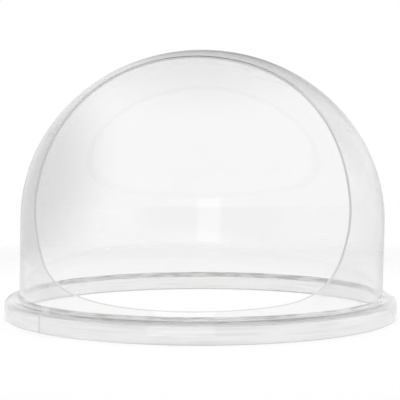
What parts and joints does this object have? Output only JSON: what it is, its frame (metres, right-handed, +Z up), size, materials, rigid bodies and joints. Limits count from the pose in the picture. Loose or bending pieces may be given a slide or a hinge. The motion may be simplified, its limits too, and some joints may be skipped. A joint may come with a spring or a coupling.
{
  "type": "candyfloss machine bubble cover",
  "caption": "Clear rigid dome on a straight wall, with a large front opening, an open bottom and a stepped rim that drops over the pan of a candyfloss machine.",
  "frame": {"origin": "centre of the circle that the rim's bottom edge stands on", "axes": "+Z up through the crown, the front opening faces -Y"},
  "size_m": [0.52, 0.52, 0.35],
  "materials": {
    "clear_acrylic": "gloss",
    "solvent_cement": "gloss"
  },
  "bodies": {
    "root": {"dome_shell": "clear_acrylic", "rim_ring": "clear_acrylic", "foot_cement": "solvent_cement", "seam_cement": "solvent_cement"}
  },
  "joints": []
}
